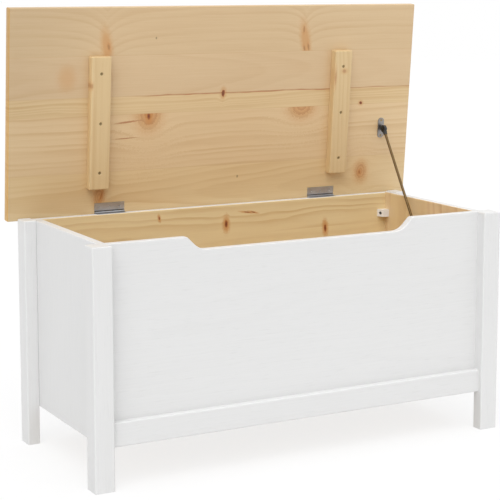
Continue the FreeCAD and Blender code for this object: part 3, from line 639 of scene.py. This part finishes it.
def cross_screws(name, body, spots, head, shank, length, sunk=0.0, finish=zinc):
    """Countersunk screws with cross recesses, as one piece that stands for the CAD node of that name.

    Each is a profile turned about its axis: a flat face, a cone of 45 degrees, a shank and a point. The
    face sinks by drive * min(1, RECESS_SLOPE * (1 - r / reach)) where |x| or |y| is within slot, half the
    width of a slot, and by less and less over the slot's wall. A spot is the middle of the head's place and
    the way it faces, and sunk is how deep the face lies under it."""
    rim = head - sunk
    slot = SLOT_SHARE * rim
    reach = REACH_SHARE * rim
    drive = DRIVE_SHARE * rim
    face = np.linspace(0.0, rim, RECESS_ROWS + 1)[1:]
    radii = np.concatenate([face, [shank, shank]])[:, None]
    heights = np.concatenate([np.full(RECESS_ROWS, -sunk), [shank - head, shank - length]])[:, None]
    turns = np.linspace(0.0, 2 * math.pi, SCREW_SIDES, endpoint=False)
    nearer = radii * np.minimum(np.abs(np.cos(turns)), np.abs(np.sin(turns)))
    inside = np.clip(((1.0 + SLOT_WALL / 2) * slot - nearer) / (SLOT_WALL * slot), 0.0, 1.0)
    depths = drive * np.clip(RECESS_SLOPE * (1.0 - radii / reach), 0.0, 1.0) * inside
    depths[RECESS_ROWS:] = 0.0
    lifts = heights - depths
    points = []
    for number, (spot, facing) in enumerate(spots):
        outward = np.array(facing, float)
        side = np.cross(outward, np.roll(outward, 1))
        side /= np.linalg.norm(side)
        up = np.cross(outward, side)
        angles = (turns + number * GOLDEN_ANGLE)[:, None]
        around = np.cos(angles) * side + np.sin(angles) * up
        grid = spot + radii[:, :, None] * around + lifts[:, :, None] * outward
        ends = np.array([spot - (sunk + drive) * outward, spot - length * outward])
        points.append(np.concatenate([grid.reshape(-1, 3), ends]))
    each = len(points[0])
    rows = np.arange(each - 2).reshape(len(radii), SCREW_SIDES)
    beside = np.roll(rows, -1, axis=1)
    quads = np.stack([rows[:-1], rows[1:], beside[1:], beside[:-1]], axis=-1).reshape(-1, 4)
    middle = np.stack([np.full(SCREW_SIDES, each - 2), rows[0], beside[0]], axis=-1)
    tip = np.stack([rows[-1], np.full(SCREW_SIDES, each - 1), beside[-1]], axis=-1)
    faces = []
    for start in range(0, each * len(spots), each):
        faces += (quads + start).tolist() + (middle + start).tolist() + (tip + start).tolist()
    mesh = bpy.data.meshes.new(name)
    mesh.from_pydata(np.concatenate(points).tolist(), [], faces)
    mesh.shade_smooth()
    mesh.set_sharp_from_angle(angle=SHARP_EDGE)
    mesh.materials.append(finish)
    piece = bpy.data.objects.new(f"{name}_crossed", mesh)
    bpy.context.scene.collection.objects.link(piece)
    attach(piece, body)
    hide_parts(name)


lid_ways = np.array(Euler((LID_TURN, 0.0, 0.0)).to_matrix())
OUT_OF_LID = lid_ways[:, 2]


def on_lid(x, up, out):
    """A point of the raised lid: along it, up from the hinge line, and out on its inner side."""
    return np.array(LID_AXIS) + lid_ways @ np.array((x, up, out))


SMALL_SCREW = {"head": 0.0028, "shank": 0.0015, "length": 0.014}
HINGE_STEPS = (-0.024, 0.0, 0.024)
LID_LEAF_LINE = 0.012
BOX_LEAF_LINE = 0.0095
LEAF_FACE = 0.0013
box_leaf_screws = []
lid_leaf_screws = []
for hinge in ("left_hinge_pin", "right_hinge_pin"):
    for step in HINGE_STEPS:
        x = middle_of(hinge).x + step
        box_spot = np.array((x, LID_AXIS.y - BOX_LEAF_LINE, LID_AXIS.z - LEAF_FACE))
        box_leaf_screws.append((box_spot, (0, 0, 1)))
        lid_leaf_screws.append((on_lid(x, LID_LEAF_LINE, -LEAF_FACE), OUT_OF_LID))
cross_screws("hinge_box_screws", "box", box_leaf_screws, **SMALL_SCREW)
cross_screws("hinge_lid_screws", "lid", lid_leaf_screws, **SMALL_SCREW)

BLOCK_SCREW = {"head": 0.0034, "shank": 0.0017, "length": 0.018}
BLOCK_WEB = 0.006
block_screws = []
for middle in block_middles:
    inward = -1.0 if middle.x > 0 else 1.0
    wall = right_inside if middle.x > 0 else left_inside
    block_screws.append((np.array((wall + inward * BLOCK_WEB, middle.y, middle.z)), (inward, 0, 0)))
cross_screws("corner_block_screws", "box", block_screws, finish=screw_steel, **BLOCK_SCREW)


# Lid board
# Glued from five pine staves of different widths and lacquered all round. The grain runs along
# the lid, with the knots, spike knots and resin line that the staves have.
LID_SEAMS = (0.089, 0.213, 0.252, 0.341)

# For each stave from the hinge up: the number for its random draws, where the tree's heart ran past
# it, the width and strength of its rings, and its colour.
STAVE_NUMBERS = (11.0, 12.0, 13.0, 14.0, 15.0)
HEART_PLACES = (0.028, -0.060, -0.400, 0.296, 0.620)
HEART_DEPTHS = (0.026, 0.040, 0.030, 0.034, 0.030)
HEART_TAPERS = (-0.070, -0.030, -0.012, 0.110, 0.014)
RING_WIDTHS = (0.0130, 0.0150, 0.0075, 0.0200, 0.0190)
LINE_STRENGTHS = (0.44, 0.54, 0.56, 0.22, 0.27)
WARMTHS = (0.75, 0.45, 0.75, 0.25, 0.35)
TONES = (1.05, 1.03, 1.02, 0.94, 0.93)
# Painted shade towards the lid's left end: the stretch over which it darkens, and how dark it gets.
LEFT_END_SHADE_RANGE = (-0.52, -0.20)
LEFT_END_SHADE_TONE = 0.86

# Marks, with places along the lid from its middle and up from the hinge line.
HALF_KNOTS = [(-0.179, 0.2135, 0.027, 0.034, 0.0), (0.205, 0.2135, 0.031, 0.025, 0.0)]
SPIKE_KNOTS = [(-0.281, 0.362, 0.010, 0.030, 10.0), (0.207, 0.366, 0.010, 0.034, 10.0)]
ROUND_KNOTS = [(0.375, 0.052, 0.015, 0.021, 0.0), (-0.292, 0.034, 0.012, 0.022, 0.0)]
SEAM_KNOTS = [(0.0014, 0.2512, 0.0042, 0.0082, -4.0), (0.365, 0.2155, 0.0040, 0.0036, 0.0)]
SPIKE_STREAKS = [
    (-0.277, 0.360, 0.0026, 0.0065, 12.0),
    (0.2050, 0.347, 0.0022, 0.0065, 12.0),
    (0.2155, 0.350, 0.0024, 0.0075, 12.0),
    (0.2020, 0.390, 0.0018, 0.0075, 0.0),
]
ROUND_HEARTS = [(0.372, 0.050, 0.0034, 0.0048, 0.0), (-0.287, 0.036, 0.0020, 0.0110, -16.0)]
HALF_HEARTS = [(-0.179, 0.2070, 0.0040, 0.0075, 6.0)]
PIN_KNOTS = [(0.045, 0.060, 0.0022, 0.0036, 0.0), (-0.166, 0.377, 0.0020, 0.0032, 0.0)]
RESIN_STREAKS = [(-0.2300, 0.1960, 0.034, 0.0026, 5.0), (-0.233, 0.1605, 0.034, 0.0015, 2.0)]
ORANGE_PATCHES = [(-0.371, 0.295, 0.020, 0.026, 0.0)]
SPIKE_DIPS = [(0.040, 0.034), (0.030, 0.022)]
BEYOND_STAINS = 9.0

# Stains of those marks.
KNOT_RING = (0.420, 0.170, 0.055, 1.0)
RESIN = (0.420, 0.140, 0.040, 1.0)
PIN_WOOD = (0.270, 0.180, 0.090, 1.0)
SOUND_WOOD = (0.590, 0.300, 0.105, 1.0)
STREAK_BROWN = (0.330, 0.170, 0.075, 1.0)
SOUND_KNOT = [(0.8, 2.0, KNOT_HALO, 0.34), (0.60, 1.20, SOUND_WOOD, 0.55)]
SEAM_KNOT = [(0.9, 2.6, KNOT_HALO, 0.40), (0.8, 1.15, KNOT_WOOD, 0.96), (0.4, 0.95, KNOT_HEART, 0.70)]
SPIKE_STREAK = [(0.8, 2.4, KNOT_HALO, 0.34), (0.5, 1.3, STREAK_BROWN, 0.62)]
ROUND_HEART = [(0.8, 2.8, KNOT_HALO, 0.50), (0.4, 1.2, KNOT_WOOD, 0.55)]
ORANGE_PATCH = [(0.3, 1.6, KNOT_HALO, 0.32)]
RESIN_STREAK = [(0.3, 1.2, RESIN, 0.80)]
PIN_KNOT = [(0.5, 1.3, PIN_WOOD, 0.75)]
GLUE_LINE = [(0.0002, 0.0006, LATEWOOD, 0.45)]
KNOT_RING_COUNT = 2.6
KNOT_RING_RANGE = (0.1, 0.95)
KNOT_RING_RIM = (0.95, 1.15)
KNOT_RING_STRENGTH = 0.42
GRAIN_RIM = (0.9, 1.15)


def by_stave(tree, steps, values):
    """The value of the stave that a place lies in. Each step is 1 beyond its seam."""
    chosen = values[0]
    for step, lower, upper in zip(steps, values, values[1:]):
        chosen = calc(tree, "MULTIPLY_ADD", step, upper - lower, chosen)
    return chosen


lid_pine, tree, shader = new_finish("lid_pine_lacquer")
axes = board_axes(tree, FLAT, LID_TURN, LID_AXIS)
along, across = axes[:2]
steps = [calc(tree, "GREATER_THAN", across, seam) for seam in LID_SEAMS]
stave = by_stave(tree, steps, STAVE_NUMBERS)
top_stave = steps[3]
below_knot_seam = calc(tree, "SUBTRACT", 1.0, steps[1])

# The lines part round the knots and dip along the two spike knots, each in its own stave only.
around_halves = calc(tree, "SUBTRACT", parted(tree, along, across, HALF_KNOTS), across)
bent = calc(tree, "MULTIPLY_ADD", around_halves, below_knot_seam,
            parted(tree, along, across, ROUND_KNOTS + SEAM_KNOTS[:1]))
for spike, (dip_depth, dip_width) in zip(SPIKE_KNOTS, SPIKE_DIPS):
    aside = calc(tree, "DIVIDE", calc(tree, "SUBTRACT", along, spike[0]), dip_width)
    dip = calc(tree, "EXPONENT", calc(tree, "MULTIPLY", calc(tree, "ABSOLUTE", aside), -1.0))
    bent = calc(tree, "MULTIPLY_ADD", calc(tree, "MULTIPLY", dip, top_stave), dip_depth, bent)
heart = [by_stave(tree, steps, values) for values in (HEART_PLACES, HEART_DEPTHS, HEART_TAPERS)]
grain = pine_grain(tree, axes, bent, stave, heart, by_stave(tree, steps, RING_WIDTHS))

# Half knots and spike knots end at the seam of their stave. A sound knot has rings of its own.
above_halves = calc(tree, "MULTIPLY", steps[1], BEYOND_STAINS)
under_top = calc(tree, "MULTIPLY", calc(tree, "SUBTRACT", 1.0, top_stave), BEYOND_STAINS)
halves = calc(tree, "ADD", oval_marks(tree, along, across, HALF_KNOTS), above_halves)
spikes = calc(tree, "ADD", oval_marks(tree, along, across, SPIKE_KNOTS), under_top)
ringed = calc(tree, "MINIMUM", halves, oval_marks(tree, along, across, ROUND_KNOTS))
sound = calc(tree, "MINIMUM", ringed, spikes)
in_ring = calc(tree, "FRACT", calc(tree, "MULTIPLY", ringed, KNOT_RING_COUNT))
knot_rings = ease(tree, in_ring, *KNOT_RING_RANGE)
knot_rings = calc(tree, "MULTIPLY", knot_rings, ease(tree, ringed, *KNOT_RING_RIM, 1.0, 0.0))
in_knot = ease(tree, sound, *GRAIN_RIM, 1.0, 0.0)
grain["lines"] = calc(tree, "MULTIPLY", grain["lines"], calc(tree, "SUBTRACT", 1.0, in_knot))
colour, relief = pine_colour(tree, axes, grain, by_stave(tree, steps, LINE_STRENGTHS),
                             by_stave(tree, steps, WARMTHS))
# Painted shade: the lid darkens towards its left end, where less light falls on it.
darker = ease(tree, along, *LEFT_END_SHADE_RANGE, LEFT_END_SHADE_TONE, 1.0)
tone = calc(tree, "MULTIPLY", by_stave(tree, steps, TONES), darker)
colour = tinted(tree, colour, join(tree, tone, tone, tone))
colour = stained(tree, colour, sound, SOUND_KNOT)
colour = mix(tree, calc(tree, "MULTIPLY", knot_rings, KNOT_RING_STRENGTH), colour, KNOT_RING)
colour = stained(tree, colour, oval_marks(tree, along, across, ORANGE_PATCHES), ORANGE_PATCH)
colour = stained(tree, colour, oval_marks(tree, along, across, RESIN_STREAKS), RESIN_STREAK)
half_hearts = calc(tree, "ADD", oval_marks(tree, along, across, HALF_HEARTS), above_halves)
colour = stained(tree, colour, half_hearts, TIGHT_KNOT)
spike_streaks = calc(tree, "ADD", oval_marks(tree, along, across, SPIKE_STREAKS), under_top)
colour = stained(tree, colour, spike_streaks, SPIKE_STREAK)
colour = stained(tree, colour, oval_marks(tree, along, across, ROUND_HEARTS), ROUND_HEART)
colour = stained(tree, colour, oval_marks(tree, along, across, PIN_KNOTS), PIN_KNOT)
for seam in LID_SEAMS:
    gap = calc(tree, "ABSOLUTE", calc(tree, "SUBTRACT", across, seam))
    colour = stained(tree, colour, gap, GLUE_LINE)

# Resin has bled along the third seam. It wavers and is patchy, starts left of the middle and fades to the
# right. The knots on the seams lie over it.
RESIN_WAVES = (9.0, 0.0, 0.0)
RESIN_WANDER = 0.008
RESIN_START = (-0.26, -0.12)
RESIN_STRENGTH = 0.80
RESIN_PATCH_WAVES = (14.0, 0.0, 0.0)
RESIN_PATCH_RANGE = (0.3, 0.6)
RESIN_FAINTEST = 0.45
RESIN_FADE = (0.22, 0.40)
RESIN_END = 0.6
RESIN_REACH = (0.0005, 0.0024)
wavering = noise(tree, stretched(tree, axes, RESIN_WAVES), detail=2.0)
resin_middle = calc(tree, "MULTIPLY_ADD", wavering, RESIN_WANDER, LID_SEAMS[2] - RESIN_WANDER / 2)
from_resin = calc(tree, "ABSOLUTE", calc(tree, "SUBTRACT", across, resin_middle))
started = ease(tree, along, *RESIN_START, 0.0, RESIN_STRENGTH)
patches = noise(tree, stretched(tree, axes, RESIN_PATCH_WAVES), detail=2.0)
patchy = calc(tree, "MULTIPLY", started, ease(tree, patches, *RESIN_PATCH_RANGE, RESIN_FAINTEST))
fading = calc(tree, "MULTIPLY", patchy, ease(tree, along, *RESIN_FADE, 1.0, RESIN_END))
colour = stain(tree, colour, from_resin, *RESIN_REACH, RESIN, fading)
colour = stained(tree, colour, oval_marks(tree, along, across, SEAM_KNOTS), SEAM_KNOT)

# The end grain takes more lacquer and is darker, round to the faces.
END_GRAIN = (0.97, 0.78, 0.45, 1.0)
END_EDGE = 0.0018
lid_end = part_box("lid_panel")[1].x - END_EDGE
end_face = calc(tree, "GREATER_THAN", calc(tree, "ABSOLUTE", along), lid_end)
colour = mix(tree, end_face, colour, tinted(tree, colour, END_GRAIN))
surface(tree, shader, colour, relief, PINE_GLOSS, GRAIN_DEPTH)
dress(lid_pine, "lid_panel")


# Battens
# Two planed pine strips across the lid's underside, each held by three countersunk screws, which
# keep the lid flat.
BATTEN_FACE = 0.019
BATTEN_STAVE = 0.2
BATTEN_WARMTH = 0.85
BATTEN_SCREW = {"head": 0.0042, "shank": 0.0021, "length": 0.032, "sunk": 0.0008}
BATTEN_SCREWS_UP = (0.0915, 0.1985, 0.3055)
left_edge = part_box("left_batten")[0].x
right_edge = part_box("right_batten")[0].x
BATTEN_KNOTS = [
    (0.2945, middle_of("right_batten").x + 0.003, 0.0042, 0.0055, 0.0),
    (0.2800, right_edge + 0.003, 0.0160, 0.0022, 0.0),
    (0.2800, left_edge + 0.001, 0.0060, 0.0025, 0.0),
]
dress(bare_finish("batten_pine", FLAT_ACROSS, BATTEN_STAVE, BATTEN_WARMTH, LID_TURN, LID_AXIS,
                  BATTEN_KNOTS), "left_batten", "right_batten")
batten_screws = []
for batten in ("left_batten", "right_batten"):
    for up in BATTEN_SCREWS_UP:
        batten_screws.append((on_lid(middle_of(batten).x, up, BATTEN_FACE), OUT_OF_LID))
cross_screws("batten_screws", "lid", batten_screws, finish=screw_steel, **BATTEN_SCREW)


# Gas strut
# A dark nitrided rod slides in a black painted tube through a plastic gland. Plastic eyes on both
# ends turn on blackened pins in zinc plated plates, one on the lid and one on the right wall.
STRUT_PLATE = {
    "waves": (300.0, 300.0, 300.0),
    "first": (0.27, 0.255, 0.245, 1.0),
    "second": (0.39, 0.365, 0.350, 1.0),
    "gloss": (0.34, 0.48),
    "depth": 0.00001,
    "metallic": 1.0,
}
NITRIDED_ROD = {
    "waves": (90.0, 90.0, 90.0),
    "first": (0.105, 0.064, 0.027, 1.0),
    "second": (0.145, 0.094, 0.043, 1.0),
    "gloss": (0.26, 0.40),
    "depth": 0.000005,
    "metallic": 1.0,
}
BLACKENED_PIN = {
    "waves": (400.0, 400.0, 400.0),
    "first": (0.040, 0.040, 0.038, 1.0),
    "second": (0.075, 0.074, 0.070, 1.0),
    "gloss": (0.30, 0.46),
    "depth": 0.00001,
    "metallic": 1.0,
}
TUBE_PAINT = {
    "waves": (700.0, 700.0, 700.0),
    "first": (0.014, 0.014, 0.015, 1.0),
    "second": (0.024, 0.024, 0.025, 1.0),
    "gloss": (0.22, 0.36),
    "depth": 0.00003,
}
EYE_PLASTIC = {
    "waves": (1300.0, 1300.0, 1300.0),
    "first": (0.020, 0.020, 0.021, 1.0),
    "second": (0.036, 0.036, 0.037, 1.0),
    "gloss": (0.40, 0.58),
    "depth": 0.00006,
}
dress(mottled_finish("plate_zinc", **STRUT_PLATE), "strut_lid_plate", "strut_wall_plate", "strut_piston")
dress(mottled_finish("rod_nitrided", **NITRIDED_ROD), "strut_rod")
dress(mottled_finish("pin_blackened", **BLACKENED_PIN), "strut_upper_pin", "strut_lower_pin")
dress(mottled_finish("tube_paint", **TUBE_PAINT), "strut_tube")
dress(mottled_finish("eye_plastic", **EYE_PLASTIC), "strut_gland", "strut_upper_eye", "strut_lower_eye")

PLATE_STEPS = (-0.018, 0.018)
PLATE_UP = 0.154
PLATE_THICKNESS = 0.002
LID_UNDERSIDE = -0.001
rod_line = middle_of("strut_rod").x
wall_pin = middle_of("strut_lower_pin")
lid_plate_screws = []
wall_plate_screws = []
for step in PLATE_STEPS:
    lid_spot = on_lid(rod_line, PLATE_UP + step, LID_UNDERSIDE + PLATE_THICKNESS)
    wall_spot = np.array((right_inside - PLATE_THICKNESS, wall_pin.y, wall_pin.z + step))
    lid_plate_screws.append((lid_spot, OUT_OF_LID))
    wall_plate_screws.append((wall_spot, (-1, 0, 0)))
cross_screws("strut_lid_plate_screws", "lid", lid_plate_screws, finish=screw_steel, **SMALL_SCREW)
cross_screws("strut_wall_plate_screws", "box", wall_plate_screws, finish=screw_steel, **SMALL_SCREW)


# Floor, light and camera
# A white studio: a wide pale floor, a white surround, one large soft lamp from the front left and
# one overhead. The camera stands where the photograph was taken from.
FLOOR_HALF = 12.0
FLOOR_WHITE = (0.90, 0.90, 0.90, 1.0)
SHADOW_LIFT = 0.80
floor_mesh = bpy.data.meshes.new("studio_floor")
floor_mesh.from_pydata([(-FLOOR_HALF, -FLOOR_HALF, 0.0), (FLOOR_HALF, -FLOOR_HALF, 0.0),
                        (FLOOR_HALF, FLOOR_HALF, 0.0), (-FLOOR_HALF, FLOOR_HALF, 0.0)], [], [(0, 1, 2, 3)])
studio_floor = bpy.data.objects.new("studio_floor", floor_mesh)
bpy.context.scene.collection.objects.link(studio_floor)
floor_paint, tree, shader = new_finish("studio_white", Base_Color=FLOOR_WHITE, Roughness=0.9,
                                       Specular_IOR_Level=0.0)
glow = tree.nodes.new("ShaderNodeEmission")


def seen_directly(tree):
    """1 for what the camera sees straight, in a mirror or through glass, and 0 for bounced light."""
    rays = tree.nodes.new("ShaderNodeLightPath").outputs
    mirrored = calc(tree, "MAXIMUM", rays["Is Glossy Ray"], rays["Is Transmission Ray"])
    return calc(tree, "MAXIMUM", rays["Is Camera Ray"], mirrored)


lift = tree.nodes.new("ShaderNodeMixShader")
feed(tree, lift.inputs["Fac"], calc(tree, "MULTIPLY", seen_directly(tree), SHADOW_LIFT))
tree.links.new(shader.outputs["BSDF"], lift.inputs[1])
tree.links.new(glow.outputs["Emission"], lift.inputs[2])
tree.links.new(lift.outputs["Shader"], tree.nodes["Material Output"].inputs["Surface"])
floor_mesh.materials.append(floor_paint)

AMBIENT = 0.46
world = bpy.data.worlds.new("studio")
bpy.context.scene.world = world
world.use_nodes = True
tree = world.node_tree
surround = tree.nodes["Background"].inputs
surround["Color"].default_value = (1.0, 1.0, 1.0, 1.0)
feed(tree, surround["Strength"], ease(tree, seen_directly(tree), 0.0, 1.0, AMBIENT, 1.0))

# Each lamp is the way towards it, its strength and its softness in degrees.
LAMPS = {
    "front_left_lamp": ((-0.42, -0.55, 0.71), 1.33, 50.0),
    "overhead_lamp": ((0.05, -0.10, 1.0), 1.33, 70.0),
}
for name, (towards, strength, softness) in LAMPS.items():
    lamp = bpy.data.lights.new(name, "SUN")
    lamp.energy = strength
    lamp.angle = math.radians(softness)
    holder = bpy.data.objects.new(name, lamp)
    holder.rotation_euler = (-Vector(towards)).to_track_quat("-Z", "Y").to_euler()
    bpy.context.scene.collection.objects.link(holder)

PHOTO_WIDTH = 500.0
FOCAL_PIXELS = 1550.47
CAMERA_PLACE = (-1.58599, -2.88127, 0.98471)
CAMERA_DOWN = 7.78
CAMERA_TURN = -28.449
CAMERA_SHIFT = -0.12
CAMERA_FAR = 100.0
camera_data = bpy.data.cameras.new("camera")
camera_data.sensor_width = 36.0
camera_data.lens = FOCAL_PIXELS / PHOTO_WIDTH * camera_data.sensor_width
camera_data.shift_y = CAMERA_SHIFT
camera_data.clip_end = CAMERA_FAR
camera = bpy.data.objects.new("camera", camera_data)
camera.location = CAMERA_PLACE
camera.rotation_euler = Euler((math.radians(90.0 - CAMERA_DOWN), 0.0, math.radians(CAMERA_TURN)))
bpy.context.scene.collection.objects.link(camera)
bpy.context.scene.camera = camera
bpy.context.scene.view_settings.view_transform = "Standard"
